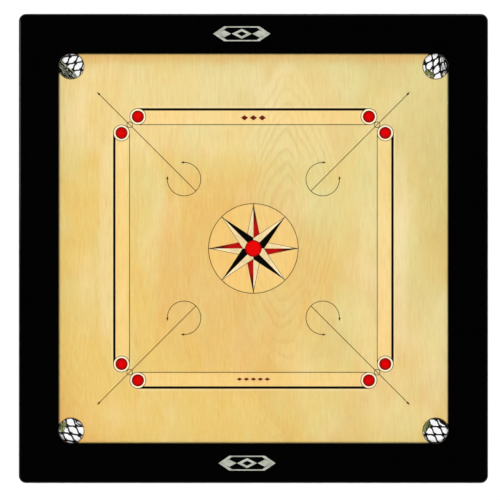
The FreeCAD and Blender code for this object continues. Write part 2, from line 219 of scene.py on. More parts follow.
# where the printing and the pockets lie, as distances from the board's middle lines
HALF_PLAY_MM = 367.5            # to the rails' inner walls
BASE_EDGE_MM = 266.0            # to the bases' bold lines
BASE_ACROSS_MM = 250.1          # to the middle of a base
BASE_ALONG_MM = 219.1           # from a base's middle to its end circles' centres
DISC_RADIUS_MM = 11.5
RING_RADIUS_MM = 14.7
CIRCLE_RADIUS_MM = 85.0
POCKET_PLACE_MM = 346.0
POCKET_RADIUS_MM = 24.0
PANEL_UNDERSIDE_Z_MM = 18.0
PLY_MM = 2.4
HALF_BOARD_MM = 443.7

VENEER_WARM = linear(219, 187, 105)
VENEER_FRESH = linear(211, 200, 137)
VENEER_ORANGE = linear(217, 160, 82)
VENEER_PALE = linear(234, 214, 168)
VENEER_LINE = linear(190, 134, 66)
VENEER_OLIVE = linear(186, 172, 106)


def from_middle(x, y):
    """Distance in millimetres from the board's middle."""
    return (x ** 2.0 + y ** 2.0).root()


def from_base_circle(x, y):
    """Distance in millimetres from the nearest of the eight base circles' centres."""
    across, along = abs(x), abs(y)
    far, near = across.larger(along), across.smaller(along)
    return ((far - BASE_ACROSS_MM) ** 2.0 + (near - BASE_ALONG_MM) ** 2.0).root()


def from_pocket(x, y):
    """Distance in millimetres from the nearest pocket's centre line."""
    return ((abs(x) - POCKET_PLACE_MM) ** 2.0 + (abs(y) - POCKET_PLACE_MM) ** 2.0).root()


def growth_lines(s, x, y, wander, ripple):
    """The dark lines of flat-sawn veneer: nested arches over long ovals, and sweeps beside them."""
    shiver = s.noise(x / 11, y / 46, 17.0, detail=2.0) - 0.5
    across = abs(x + wander * 110 + ripple * 22 + shiver * 5 - 62)
    along = abs(y - 62 + (s.noise(x / 60, y / 200, 5.0) - 0.5) * 70) / 2.9
    ring = (across ** 1.8 + along ** 1.8 + 20) ** 0.556
    # past the ovals the growth lines run along the board, and swing inwards at the front left
    swing = ((y * -1.0 - 60).larger(0.0) ** 2.0) * 0.0011
    sweep = (x * -1.0 - 40 + wander * 90 + ripple * 12 + swing).larger(0.0)
    ring = ring.smaller(sweep * 0.8 + 105)
    growth = ring / 9.5 + (s.noise(ring / 22, 4.0, 2.0, detail=2.0) - 0.5) * 3.4
    season = s.math("FRACT", growth)
    line = season.rise(0.35, 0.9) * season.rise(1.0, 0.93)
    fade = s.noise(x / 80, y / 150, 14.0, detail=2.0).rise(0.38, 0.60)
    return line * fade * (ring.rise(150, 60) * 0.6 + 0.4)


def round_the_printing(s, x, y, colour):
    """The veneer's changes beside what is printed on it or bored through it."""
    far = abs(x).larger(abs(y))
    near = abs(x).smaller(abs(y))
    # polished brighter between the two lines of each base, in the middle circle and just outside the bases
    strip = far.band(BASE_ACROSS_MM, 12, 3) * near.rise(BASE_ALONG_MM, BASE_ALONG_MM - 6)
    colour = s.mix(strip * 0.5, colour, linear(240, 203, 130))
    radius = from_middle(x, y)
    inside = radius.rise(CIRCLE_RADIUS_MM + 1, CIRCLE_RADIUS_MM - 3)
    colour = s.mix(inside * 0.4, colour, linear(240, 197, 116))
    glow = abs(x).band(279, 6, 12) * abs(y).rise(210, 150)
    colour = s.mix(glow * 0.3, colour, VENEER_PALE)
    halo = far.band(BASE_EDGE_MM + 2.0, 0.6, 1.6) * near.rise(BASE_ALONG_MM + 4, BASE_ALONG_MM - 4)
    circle = from_base_circle(x, y)
    halo = halo.larger(circle.rise(RING_RADIUS_MM + 3.2, RING_RADIUS_MM + 1.2) * 0.6)
    colour = s.mix(halo * 0.5, colour, VENEER_PALE)
    annulus = circle.rise(RING_RADIUS_MM + 0.5, RING_RADIUS_MM)
    colour = s.mix(annulus * 0.85, colour, linear(248, 230, 196))

    # the ink spreads a little at the star's eight points, up to the outer circle
    from_arm = near.smaller((far - near) * DIAGONAL)
    spread = from_arm.rise(1.3, 0.6) * radius.rise(74, 79)
    spread = spread * radius.rise(CIRCLE_RADIUS_MM + 0.2, CIRCLE_RADIUS_MM - 0.2)
    colour = s.mix(spread * 0.85, colour, linear(46, 36, 20))

    # a dark ring round the edge of each pocket
    bore = from_pocket(x, y).rise(POCKET_RADIUS_MM + 2.1, POCKET_RADIUS_MM + 1.0)
    return s.mix(bore * 0.92, colour, linear(58, 40, 18))


def veneer_colour(s, x, y):
    """Maple-pale veneer with its grain along y: growth lines, streaks, clouds and slow changes of tone.

    Gives its colour, and the shares of fibre, pore and growth line at each place.
    """
    wander = s.noise(x / 150, y / 420, 3.0, detail=2.0) - 0.5
    ripple = s.noise(x / 42, y / 150, 9.0, detail=3.0) - 0.5
    line = growth_lines(s, x, y, wander, ripple)

    # slow changes of tone, cooler towards the back right, and pale and olive clouds
    broad = s.noise(x / 105, y / 180, 21.0, detail=2.0).rise(0.34, 0.66)
    tone = x * 0.0010 + y * 0.0009 + 0.18 + broad * 0.55
    colour = s.mix(tone.clamp(), VENEER_WARM, VENEER_FRESH)
    pale = s.noise(x / 75, y / 140, 27.0, detail=3.0).rise(0.48, 0.70)
    colour = s.mix(pale * 0.24, colour, VENEER_PALE)
    sapwood = (x + wander * 50).band(238, 24, 50) * y.band(-120, 170, 90)
    sapwood = sapwood.larger((y + wander * 80).band(262, 60, 60) * x.rise(230, 130))
    sapwood = sapwood.larger(x.band(330, 40, 60) * y.band(-210, 90, 70) * 0.8)
    colour = s.mix(sapwood * (pale * 0.3 + 0.7) * 0.36, colour, VENEER_PALE)
    shaded = (x + wander * 60).band(345, 8, 40) * y.band(110, 70, 90)
    colour = s.mix(shaded * 0.3, colour, VENEER_OLIVE)

    # heartwood: a broad warm middle, deeper streaks left of it and fainter ones elsewhere
    streak = s.noise(x / 26, y / 330, 31.0, detail=4.0, rough=0.55)
    warm = 1.0 - (((x + 35) / 185) ** 2.0 + ((y + 60) / 250) ** 2.0)
    warm = warm.rise(0.0, 0.7) * (s.noise(x / 45, y / 150, 35.0, detail=3.0).rise(0.30, 0.60) * 0.6 + 0.4)
    colour = s.mix(warm * 0.42, colour, VENEER_ORANGE)
    heart = (x + wander * 60).band(-142, 14, 40) * y.band(20, 110, 110)
    heart = heart.larger((x + wander * 60).band(-60, 10, 30) * y.band(-10, 70, 110) * 0.6)
    heart = heart.larger((x + wander * 60).band(122, 10, 34) * y.band(-30, 60, 90) * 0.75)
    heart = heart * streak.rise(0.34, 0.60)
    colour = s.mix(heart * 0.4, colour, VENEER_ORANGE)
    colour = s.mix(streak.rise(0.50, 0.74) * y.rise(300, 60) * 0.2, colour, VENEER_ORANGE)
    colour = s.mix(line * 0.21, colour, VENEER_LINE)

    # small clouds, rosy and greenish, drawn out along the grain
    rosy = s.noise(x / 9, y / 34, 51.0, detail=3.0, rough=0.6).rise(0.42, 0.68)
    colour = s.mix(rosy * 0.13, colour, linear(226, 170, 116))
    green = s.noise(x / 13, y / 30, 57.0, detail=3.0, rough=0.6).rise(0.46, 0.68)
    colour = s.mix(green * 0.15, colour, linear(212, 210, 140))

    # painted shade: an orange band along the back edge stands for the back rail's shadow on the lacquer
    edge = (HALF_PLAY_MM - y + ripple * 14).rise(22, 5)
    colour = s.mix(edge * 0.45, colour, VENEER_ORANGE)
    # warmer in the front left corner
    corner = ((x + HALF_PLAY_MM) * 1.3 + (y + HALF_PLAY_MM) + ripple * 60).rise(190, 20)
    colour = s.mix(corner * 0.6, colour, VENEER_ORANGE)

    colour = round_the_printing(s, x, y, colour)

    # fine streaks along the grain, some deeper and some paler than the wood round them
    thread = s.noise(x / 3.8, y / 38, 83.0, detail=4.0, rough=0.7)
    colour = s.mix(thread.rise(0.50, 0.72) * 0.21, colour, VENEER_LINE)
    colour = s.mix(thread.rise(0.48, 0.28) * 0.23, colour, VENEER_PALE)

    # fine fibres and pores
    fibre = s.noise(x / 1.1, y / 38, 41.0, detail=3.0, rough=0.6)
    pore = s.noise(x / 0.45, y / 5.0, 47.0, detail=1.0).rise(0.62, 0.74)
    colour = s.mix((fibre.rise(0.35, 0.75) - 0.3).clamp() * 0.16, colour, VENEER_LINE)
    colour = s.mix(pore * 0.14, colour, linear(150, 96, 44))
    return colour, fibre, pore, line


def playing_panel_material():
    """Clear lacquer over veneer on top, bare plies in the pocket holes and a plainer veneer below."""
    s = Shade("veneered_plywood", Coat_Roughness=0.07, Coat_IOR=1.5, Specular_IOR_Level=0.5)
    x, y, z = s.place()
    upward = s.upward()
    top = upward.rise(0.5, 0.9)
    under = upward.rise(-0.5, -0.9)
    face, fibre, pore, line = veneer_colour(s, x, y)

    # the plies show as bands round each pocket hole
    depth = (z - PANEL_UNDERSIDE_Z_MM) / PLY_MM
    ply = (depth * TAU / 2).sine() * 0.5 + 0.5
    grain = s.noise(x / 1.5, y / 1.5, z / 0.35, detail=3.0)
    edge = s.mix(ply.rise(0.35, 0.65), linear(88, 56, 32), linear(126, 90, 54))
    edge = s.mix(grain * 0.45, edge, linear(52, 32, 18))

    # the back veneer's grain runs the other way
    broad = s.noise(x / 220, y / 9, 63.0, detail=4.0, rough=0.6)
    fine = s.noise(x / 30, y / 0.9, 70.0, detail=2.0)
    below = s.mix(broad.rise(0.3, 0.75), linear(205, 170, 120), linear(178, 136, 86))
    below = s.mix(fine.rise(0.45, 0.8) * 0.35, below, linear(150, 106, 62))
    colour = s.mix(top, s.mix(under, edge, below), face)
    s.color(colour)
    s.rough(top * -0.42 + 0.72 + fibre * 0.08)
    s.feed(s.surface.inputs["Coat Weight"], top * 0.55)
    relief = fibre * 0.35 - pore * 0.5 + line * 0.15
    s.bump(relief, 0.18, 0.12)
    return s.material


def lacquered_rail_material(lengthwise):
    """Black gloss lacquer that lets a little of the rail's grain through, rubbed thin along its edges."""
    s = Shade("black_lacquer_lengthwise" if lengthwise else "black_lacquer_crosswise",
              Coat_Roughness=0.10, Coat_IOR=1.45, Specular_IOR_Level=0.0)
    x, y, z = s.place()
    run, side = (y, x) if lengthwise else (x, y)
    grain = s.noise(run / 60, side / 1.6, z / 2.4, detail=4.0, rough=0.6)
    peel = s.noise(x / 2.6, y / 2.6, z / 2.6, detail=1.0)
    smear = s.noise(run / 90, side / 30, z / 20, detail=3.0)
    # the high edges catch hands and tables, so the lacquer is thinner on them
    outer = abs(side).rise(HALF_BOARD_MM - 3.3, HALF_BOARD_MM - 0.3) * z.rise(43.0, 48.5)
    low = z.rise(2.2, 0.6) * abs(side).rise(HALF_BOARD_MM - 7.7, HALF_BOARD_MM - 1.7)
    rub = s.noise(run / 16, side / 5, z / 3.5, detail=5.0, rough=0.65).rise(0.60, 0.70)
    wear = (outer.larger(low) * rub).clamp()
    black = s.mix(grain, linear(0, 0, 0), linear(4, 4, 4))
    colour = s.mix(wear * 0.5, black, linear(44, 34, 26))
    below = s.upward().rise(-0.6, -0.9)
    dull = s.mix(s.noise(run / 40, side / 2, 5.0, detail=3.0), linear(20, 19, 19), linear(42, 38, 34))
    s.color(s.mix(below, colour, dull))
    s.rough(smear * 0.12 + 0.2 + below * 0.4 + wear * 0.2)
    # the hollows round the pockets only took the matt first coat
    hollow = from_pocket(x, y).rise(POCKET_RADIUS_MM + 2.5, POCKET_RADIUS_MM + 1.0)
    s.feed(s.surface.inputs["Coat Weight"], (0.85 - hollow * 0.85 - below * 0.7).clamp())
    s.bump(grain * 0.6 + peel * 0.4, 0.10, 0.10)
    return s.material


def raw_wood_material(name, axis, seed, light, dark):
    """Planed softwood with its grain along one axis of the row frame: "x", "y" or "diagonal"."""
    s = Shade(name)
    x, y, z = s.place()
    if axis == "x":
        run, side = x, y
    elif axis == "y":
        run, side = y, x
    else:
        run, side = (x + y) * DIAGONAL, (x - y) * DIAGONAL
    wander = s.noise(run / 140, side / 40, z / 40 + seed, detail=2.0) - 0.5
    ring = (((side + seed * 3) ** 2.0 + (z - 34) ** 2.0).root() + wander * 14) * 1.35
    late = (ring.sine() * 0.5 + 0.5) ** 3.0
    streak = s.noise(run / 90, side / 2.2, z / 2.2 + seed, detail=4.0, rough=0.6)
    fibre = s.noise(run / 14, side / 0.4, z / 0.4, detail=2.0)
    grey = s.noise(x / 60, y / 60, z / 30 + seed, detail=3.0)
    colour = s.mix(streak.rise(0.3, 0.75), light, dark)
    colour = s.mix(late * 0.45, colour, linear(150, 98, 52))
    colour = s.mix(fibre.rise(0.5, 0.8) * 0.2, colour, linear(128, 84, 46))
    colour = s.mix(grey.rise(0.5, 0.8) * 0.25, colour, linear(140, 122, 98))
    s.color(colour)
    s.rough(0.62 + streak * 0.2)
    s.bump(fibre * 0.5 + late * 0.5, 0.35, 0.15)
    return s.material


# ---------------------------------------------------------------- inks and metals


def ink_material(name, colour, *changes):
    """Screen-printed ink under clear lacquer.

    Each change is a colour, and a function of x and y that is 1 where the ink has that colour.
    """
    s = Shade(name, Coat_Weight=0.2, Coat_Roughness=0.08, Coat_IOR=1.45, Specular_IOR_Level=0.15)
    x, y, _ = s.place()
    body = s.noise(x / 9, y / 9, 1.0, detail=3.0)
    speck = s.noise(x / 0.5, y / 0.5, 7.0, detail=2.0).rise(0.60, 0.72)
    fibre = s.noise(x / 0.8, y / 26, 11.0, detail=2.0)
    thin = tuple(min(1.0, c * 1.35 + 0.004) for c in colour[:3]) + (1.0,)
    deep = tuple(c * 0.86 for c in colour[:3]) + (1.0,)
    made = s.mix(body.rise(0.35, 0.7), deep, colour)
    made = s.mix(speck * 0.35, made, thin)
    for other, where in changes:
        made = s.mix(where(x, y), made, other)
    s.color(made)
    s.rough(0.34 + fibre * 0.1)
    s.bump(fibre * 0.7 + speck * 0.3, 0.15, 0.05)
    return s.material


def disc_edge(x, y):
    """The red discs deepen slowly outwards, and more at their edge."""
    radius = from_base_circle(x, y)
    rim = radius.rise(DISC_RADIUS_MM - 3.0, DISC_RADIUS_MM - 1.4)
    return (rim * 0.72 + radius.rise(3.5, 7.5) * 0.28).clamp()


def middle_edge(x, y):
    """The middle disc darkens in two steps near its edge."""
    radius = from_middle(x, y)
    return (radius.rise(12.2, 13.4) * 0.45 + radius.rise(14.0, 15.2) * 0.55).clamp()


def arm_shade(x, y):
    """The red star halves deepen towards their tips and beside the middle disc."""
    radius = from_middle(x, y)
    return (radius.rise(40, 66) * 0.97 + radius.rise(30, 18) * 0.4).clamp()


def arm_light(x, y):
    """The pale star halves grow paler towards their tips."""
    return from_middle(x, y).rise(30, 80)


def arm_point(x, y):
    """The four arms that carry red end in dark points."""
    return from_middle(x, y).rise(66, 80) * abs(x).smaller(abs(y)).rise(12, 8) * 0.9


def silver_ink_material():
    """Metallic ink, uneven where the screen laid it down thinner, with brighter flecks."""
    s = Shade("silver_ink", Metallic=0.35, Coat_Weight=0.25, Coat_Roughness=0.15)
    x, y, _ = s.place()
    flake = s.noise(x / 0.35, y / 0.35, 3.0, detail=2.0)
    cloud = s.noise(x / 14, y / 9, 8.0, detail=3.0)
    colour = s.mix(cloud.rise(0.3, 0.7), linear(176, 181, 166), linear(214, 217, 204))
    colour = s.mix(flake.rise(0.5, 0.75) * 0.35, colour, linear(238, 240, 232))
    s.color(colour)
    s.rough(0.36 + flake * 0.22)
    s.bump(flake, 0.12, 0.04)
    return s.material


def screw_material():
    """Yellow zinc plating: a thin rainbow-tinged film over turned steel."""
    s = Shade("yellow_zinc", Metallic=1.0)
    x, y, z = s.place()
    film = s.noise(x / 2.4, y / 2.4, z / 2.4, detail=3.0)
    turned = s.noise(x / 0.6, y / 0.6, z / 0.12, detail=2.0)
    colour = s.mix(film.rise(0.3, 0.7), linear(214, 190, 120), linear(188, 176, 138))
    colour = s.mix(film.rise(0.62, 0.74) * 0.4, colour, linear(176, 150, 150))
    s.color(colour)
    s.rough(0.26 + turned * 0.22)
    s.bump(turned, 0.2, 0.04)
    return s.material


def wire_material():
    """Bright staple wire with drawing marks and the odd dull spot."""
    s = Shade("staple_wire", Metallic=1.0)
    x, y, z = s.place()
    drawn = s.noise(x / 0.25, y / 0.25, z / 0.25, detail=2.0)
    spot = s.noise(x / 1.8, y / 1.8, z / 1.8, detail=4.0).rise(0.58, 0.7)
    s.color(s.mix(spot * 0.5, linear(196, 196, 190), linear(128, 112, 92)))
    s.rough(0.24 + drawn * 0.16 + spot * 0.25)
    s.bump(drawn, 0.15, 0.03)
    return s.material


def cord_material(name, deep, plain, dusty, gloss=0.3, sheen=0.2):
    """Twisted net cord: fuzzy and mottled, with patches of dust."""
    s = Shade(name, Sheen_Weight=sheen, Sheen_Roughness=0.5, Specular_IOR_Level=gloss)
    x, y, z = s.place()
    fuzz = s.noise(x / 0.35, y / 0.35, z / 0.35, detail=3.0)
    dust = s.noise(x / 5, y / 5, z / 5, detail=3.0)
    colour = s.mix(fuzz.rise(0.3, 0.7), deep, plain)
    colour = s.mix(dust.rise(0.48, 0.75) * 0.6, colour, dusty)
    s.color(colour)
    s.rough(0.78 + fuzz * 0.15)
    s.bump(fuzz, 0.5, 0.12)
    return s.material


# ---------------------------------------------------------------- nets

NET_RIM_RADIUS = 27.5 * MM
NET_RIM_Z = 17.0 * MM
NET_LOWEST = 1.15 * MM          # the cords stay inside the space of the CAD bag
NET_HIGHEST = 17.15 * MM
NET_WIDEST = 30.2 * MM
NET_SHEET_RADIUS = 44.0 * MM    # of the flat disc of cloth that is draped
NET_FLOOR_SHARE = 0.63          # of the sheet's radius lies on the ground before it settles
CLOTH_STEP = 3.3 * MM           # between the cloth's points
CORD_RADIUS = 1.6 * MM
CORD_PITCH = 6.5 * MM           # a cord's plies turn once over this length
LINE_STEP = 0.8 * MM            # between the rings of a cord's mesh
KNOT_STEPS = 16                 # rings for each turn of a knot
RIM_STEPS = 170                 # rings of the draw cord at the rim
RIM_TURNS = 30                  # times its plies turn, a whole number so that its ends meet
SIM_SCALE = 10.0                # the cloth is worked out ten times larger
SIM_FRAMES = 60
# the knotted pattern: each cord climbs, runs flat beside its neighbour in a knot, and falls again
MESH_CLIMB = 7.8 * MM
MESH_FLAT = 5.2 * MM
MESH_RISE = 5.9 * MM
MESH_GAP = 2.8 * MM
MESH_DRIFT = 0.75 * MM          # how far the pattern wanders, for each of its waves
SHORTEST_RUN = 4                # points; runs of cord no longer than this are left out
BLACK, OLIVE, GREEN = 0, 1, 2   # the cords' materials, in the order of a net's slots


class Net:
    """One net bag: a disc of cloth draped by simulation, and the pattern of cords drawn on it."""

    def __init__(self, seed, pull):
        self.rnd = random.Random(seed)
        self.index, self.rest = {}, []
        reach = int(NET_SHEET_RADIUS / CLOTH_STEP) + 1
        for i in range(-reach, reach + 1):
            for j in range(-reach, reach + 1):
                if math.hypot(i, j) * CLOTH_STEP <= NET_SHEET_RADIUS:
                    self.index[i, j] = len(self.rest)
                    self.rest.append(Vector((i * CLOTH_STEP, j * CLOTH_STEP, 0.0)))
        self.faces = []
        for i, j in self.index:
            square = [self.index.get(p) for p in ((i, j), (i + 1, j), (i + 1, j + 1), (i, j + 1))]
            if None not in square:
                self.faces.append(square)
        uses = {}
        for face in self.faces:
            for a, b in zip(face, face[1:] + face[:1]):
                uses[min(a, b), max(a, b)] = uses.get((min(a, b), max(a, b)), 0) + 1
        self.rim = sorted({v for edge, count in uses.items() if count == 1 for v in edge})
        self.start = [self.start_of(k, p, pull) for k, p in enumerate(self.rest)]
        self.points = self.drape()

    def start_of(self, k, p, pull):
        """Before it settles: a loose floor pulled to one side, and walls that rise to the rim."""
        radius, angle = math.hypot(p.x, p.y), math.atan2(p.y, p.x)
        if k in self.rim:
            return Vector((NET_RIM_RADIUS * math.cos(angle), NET_RIM_RADIUS * math.sin(angle), NET_RIM_Z))
        lift = self.rnd.uniform(0.0, 1.0)
        inner = NET_FLOOR_SHARE * NET_SHEET_RADIUS
        if radius < inner:
            height = (2.2 + 1.2 * lift) * MM
            return Vector((p.x + pull[0], p.y + pull[1], height))
        # up goes from 0 at the floor to 1 at the rim, and the wall bellies out a little between them
        up = (radius - inner) / (NET_SHEET_RADIUS - inner)
        out = inner + (NET_RIM_RADIUS - inner) * up + 2.0 * MM * lift * math.sin(math.pi * up)
        height = (2.4 + 13.8 * up + 0.8 * lift) * MM
        return Vector((out * math.cos(angle) + pull[0] * (1 - up),
                       out * math.sin(angle) + pull[1] * (1 - up), height))

    def drape(self):
        points = self.simulate()
        for p in points:
            p.z = min(max(p.z, NET_LOWEST + CORD_RADIUS), NET_HIGHEST - CORD_RADIUS)
        return points

    def simulate(self):
        """Lets the cloth fall onto the catch floor, held at its rim. It hardly stretches but folds easily."""
        scene = bpy.context.scene
        mesh = bpy.data.meshes.new("net_cloth")
        mesh.from_pydata([p * SIM_SCALE for p in self.start], [], self.faces)
        cloth = bpy.data.objects.new("net_cloth", mesh)
        scene.collection.objects.link(cloth)
        cloth.shape_key_add(name="Basis")
        rest = cloth.shape_key_add(name="rest")
        for k, p in enumerate(self.rest):
            rest.data[k].co = p * SIM_SCALE
        cloth.vertex_groups.new(name="rim").add(self.rim, 1.0, "REPLACE")
        modifier = cloth.modifiers.new("cloth", "CLOTH")
        how = modifier.settings
        how.quality = 8
        how.mass = 0.25
        how.air_damping = 1.5
        how.tension_stiffness, how.tension_damping = 25, 8
        how.compression_stiffness, how.compression_damping = 3, 5
        how.shear_stiffness, how.shear_damping = 0.6, 5
        how.bending_stiffness, how.bending_damping = 0.02, 0.5
        how.vertex_group_mass = "rim"
        how.rest_shape_key = rest
        modifier.collision_settings.use_collision = True
        modifier.collision_settings.distance_min = 1.0 * MM * SIM_SCALE
        modifier.collision_settings.collision_quality = 4
        modifier.collision_settings.use_self_collision = False
        modifier.point_cache.frame_start = 1
        modifier.point_cache.frame_end = SIM_FRAMES
        scene.frame_start, scene.frame_end = 1, SIM_FRAMES
        for number in range(1, SIM_FRAMES + 1):
            scene.frame_set(number)
        graph = bpy.context.evaluated_depsgraph_get()
        settled = cloth.evaluated_get(graph)
        points = [v.co / SIM_SCALE for v in settled.to_mesh().vertices]
        settled.to_mesh_clear()
        bpy.data.objects.remove(cloth)
        scene.frame_set(1)
        return points

    def at(self, u, v):
        """The draped place of a point on the flat cloth, or None past its edge."""
        i, j = math.floor(u / CLOTH_STEP), math.floor(v / CLOTH_STEP)
        corners = [self.index.get(p) for p in ((i, j), (i + 1, j), (i, j + 1), (i + 1, j + 1))]
        if None in corners:
            return None
        a, b, c, d = (self.points[k] for k in corners)
        s, t = u / CLOTH_STEP - i, v / CLOTH_STEP - j
        return (a * (1 - s) + b * s) * (1 - t) + (c * (1 - s) + d * s) * t

    def pattern(self, turn, shift):
        """The cords as runs of draped points, and the knots as (place, direction of the cords)."""
        period = 2 * (MESH_CLIMB + MESH_FLAT)
        pitch = MESH_RISE + MESH_GAP
        rows = int(NET_SHEET_RADIUS / pitch) + 2
        spans = int(NET_SHEET_RADIUS / period) + 2
        waves = []
        for _ in range(4):
            waves.append((self.rnd.uniform(0.6, 1.4), self.rnd.uniform(0, TAU), self.rnd.uniform(0, TAU)))
        cosine, sine = math.cos(turn), math.sin(turn)

        def on_cloth(x, y):
            # the meshes drift in slow waves, so that no two openings are alike
            x += sum(math.sin(x / MM / 10.0 * f + p) for f, p, _ in waves) * MESH_DRIFT
            y += sum(math.sin(y / MM / 9.0 * f + q) for f, _, q in waves) * MESH_DRIFT
            x, y = x + shift[0], y + shift[1]
            return cosine * x - sine * y, sine * x + cosine * y

        runs, knots = [], []
        for row in range(-rows, rows + 1):
            base = row * pitch
            offset = 0.0 if row % 2 == 0 else period / 2
            corners = []
            for span in range(-spans, spans + 1):
                x = span * period + offset
                top, high = x + MESH_FLAT + MESH_CLIMB, base + MESH_RISE
                corners += [(x, base), (x + MESH_FLAT, base), (top, high),
                            (x + 2 * MESH_FLAT + MESH_CLIMB, high)]
                # a knot holds this cord's flat top against the flat foot of the next one
                places = [self.at(*on_cloth(top + ahead, high + MESH_GAP / 2))
                          for ahead in (MESH_FLAT / 2, 0.0, MESH_FLAT)]
                if None not in places:
                    knots.append((places[0], places[2] - places[1]))
            run = []
            for a, b in zip(corners, corners[1:]):
                for n in range(3):
                    t = n / 3
                    place = self.at(*on_cloth(a[0] + (b[0] - a[0]) * t, a[1] + (b[1] - a[1]) * t))
                    if place is None:
                        if len(run) > SHORTEST_RUN:
                            runs.append(run)
                        run = []
                    else:
                        run.append(place)
            if len(run) > SHORTEST_RUN:
                runs.append(run)
        return runs, knots


def square_plane(name, half, z):
    """A flat square, twice half across, at height z."""
    mesh = bpy.data.meshes.new(name)
    corners = [(-half, -half, z), (half, -half, z), (half, half, z), (-half, half, z)]
    mesh.from_pydata(corners, [], [(0, 1, 2, 3)])
    made = bpy.data.objects.new(name, mesh)
    bpy.context.scene.collection.objects.link(made)
    return made


def catch_floor():
    """The plane that the enlarged nets fall onto. It is taken away afterwards."""
    made = square_plane("catch_floor", 80.0 * MM * SIM_SCALE, 1.2 * MM * SIM_SCALE)
    made.modifiers.new("collide", "COLLISION")
    made.collision.thickness_outer = 0.3 * MM * SIM_SCALE
    made.collision.cloth_friction = 12
    return made


def smooth_line(points, spacing):
    """Points at an even spacing along a smooth curve through these, after softening its corners."""
    softer = [(a + b * 2 + c) / 4 for a, b, c in zip(points, points[1:], points[2:])]
    points = [points[0], *softer, points[-1]]
    full = [points[0] * 2 - points[1], *points, points[-1] * 2 - points[-2]]
    # a Catmull-Rom curve through the points, then even steps along it
    fine = []
    for a, b, c, d in zip(full, full[1:], full[2:], full[3:]):
        for n in range(4):
            t = n / 4
            fine.append(0.5 * ((2 * b) + (c - a) * t + (2 * a - 5 * b + 4 * c - d) * t * t
                               + (3 * b - a - 3 * c + d) * t ** 3))
    fine.append(points[-1].copy())
    lengths = [0.0]
    for a, b in zip(fine, fine[1:]):
        lengths.append(lengths[-1] + (b - a).length)
    count = max(int(round(lengths[-1] / spacing)), 2)
    even, k = [], 0
    for n in range(count + 1):
        want = lengths[-1] * n / count
        while k < len(lengths) - 2 and lengths[k + 1] < want:
            k += 1
        span = max(lengths[k + 1] - lengths[k], 1e-9)
        even.append(fine[k].lerp(fine[k + 1], min(max((want - lengths[k]) / span, 0.0), 1.0)))
    return even


class Cords:
    """Collects twisted cords and knots into one mesh."""

    def __init__(self):
        self.points, self.faces, self.looks = [], [], []

    def twist(self, line, radius, pitch, phase=0.0, closed=False, look=BLACK, around=12):
        """A two-ply cord along a line: an eight-shaped section that turns once every pitch."""
        first = len(self.points)
        side = None
        run = 0.0
        rings = len(line)
        for k, p in enumerate(line):
            ahead = line[(k + 1) % rings] if closed else line[min(k + 1, rings - 1)]
            behind = line[k - 1] if closed else line[max(k - 1, 0)]
            along = (ahead - behind).normalized()
            if side is None:
                side = along.orthogonal().normalized()
            side = (side - along * side.dot(along)).normalized()
            up = along.cross(side)
            if k:
                run += (p - line[k - 1]).length
            turn = phase + TAU * run / pitch
            for n in range(around):
                a = TAU * n / around
                # the two plies bulge on opposite sides
                lobe = radius * (0.78 + 0.22 * math.cos(2 * (a - turn)))
                self.points.append(p + side * (lobe * math.cos(a)) + up * (lobe * math.sin(a)))
        before = len(self.faces)
        spans = rings if closed else rings - 1
        for k in range(spans):
            here, there = first + k * around, first + ((k + 1) % rings) * around
            for n in range(around):
                m = (n + 1) % around
                self.faces.append((here + n, here + m, there + m, there + n))
        if not closed:
            self.faces.append(tuple(first + n for n in range(around))[::-1])
            self.faces.append(tuple(first + (rings - 1) * around + n for n in range(around)))
        self.looks += [look] * (len(self.faces) - before)

    def knot(self, middle, along, width, turns):
        """Cord wound tightly round the two cords that run side by side through a knot."""
        along = along.normalized()
        side = along.cross(Vector((0.0, 0.0, 1.0)))
        if side.length < 0.2:
            side = along.orthogonal()
        side.normalize()
        up = side.cross(along)
        line = []
        steps = int(KNOT_STEPS * turns)
        for n in range(steps + 1):
            a = TAU * turns * n / steps
            # each turn is flatter than round and lies beside the last
            line.append(middle + side * (width * math.cos(a)) + up * (width * 0.62 * math.sin(a))
                        + along * (1.9 * CORD_RADIUS * turns * (n / steps - 0.5)))
        self.twist(line, CORD_RADIUS * 0.9, CORD_PITCH, phase=width / MM, around=10)

    def piece(self, name, centre, materials):
        """The mesh as an object, held inside the bag's own space."""
        for p in self.points:
            radius = math.hypot(p.x, p.y)
            if radius > NET_WIDEST:
                p.x, p.y = p.x * NET_WIDEST / radius, p.y * NET_WIDEST / radius
            p.z = min(max(p.z, NET_LOWEST), NET_HIGHEST)
        mesh = bpy.data.meshes.new(name)
        mesh.from_pydata([p + centre for p in self.points], [], self.faces)
        for material in materials:
            mesh.materials.append(material)
        mesh.polygons.foreach_set("material_index", self.looks)
        mesh.polygons.foreach_set("use_smooth", [True] * len(mesh.polygons))
        mesh.validate()
        made = bpy.data.objects.new(name, mesh)
        bpy.context.scene.collection.objects.link(made)
        return made


def bunch(degrees, distances, half, count, heights, radius, look):
    """Where slack meshes are bunched in a pocket, with lengths in millimetres.

    They lie across one heading, between two distances from the pocket's centre and between two heights,
    and each reaches up to half to either side.
    """
    return {"heading": math.radians(degrees), "distances": [v * MM for v in distances], "half": half * MM,
            "count": count, "heights": [v * MM for v in heights], "radius": radius * MM, "look": look}


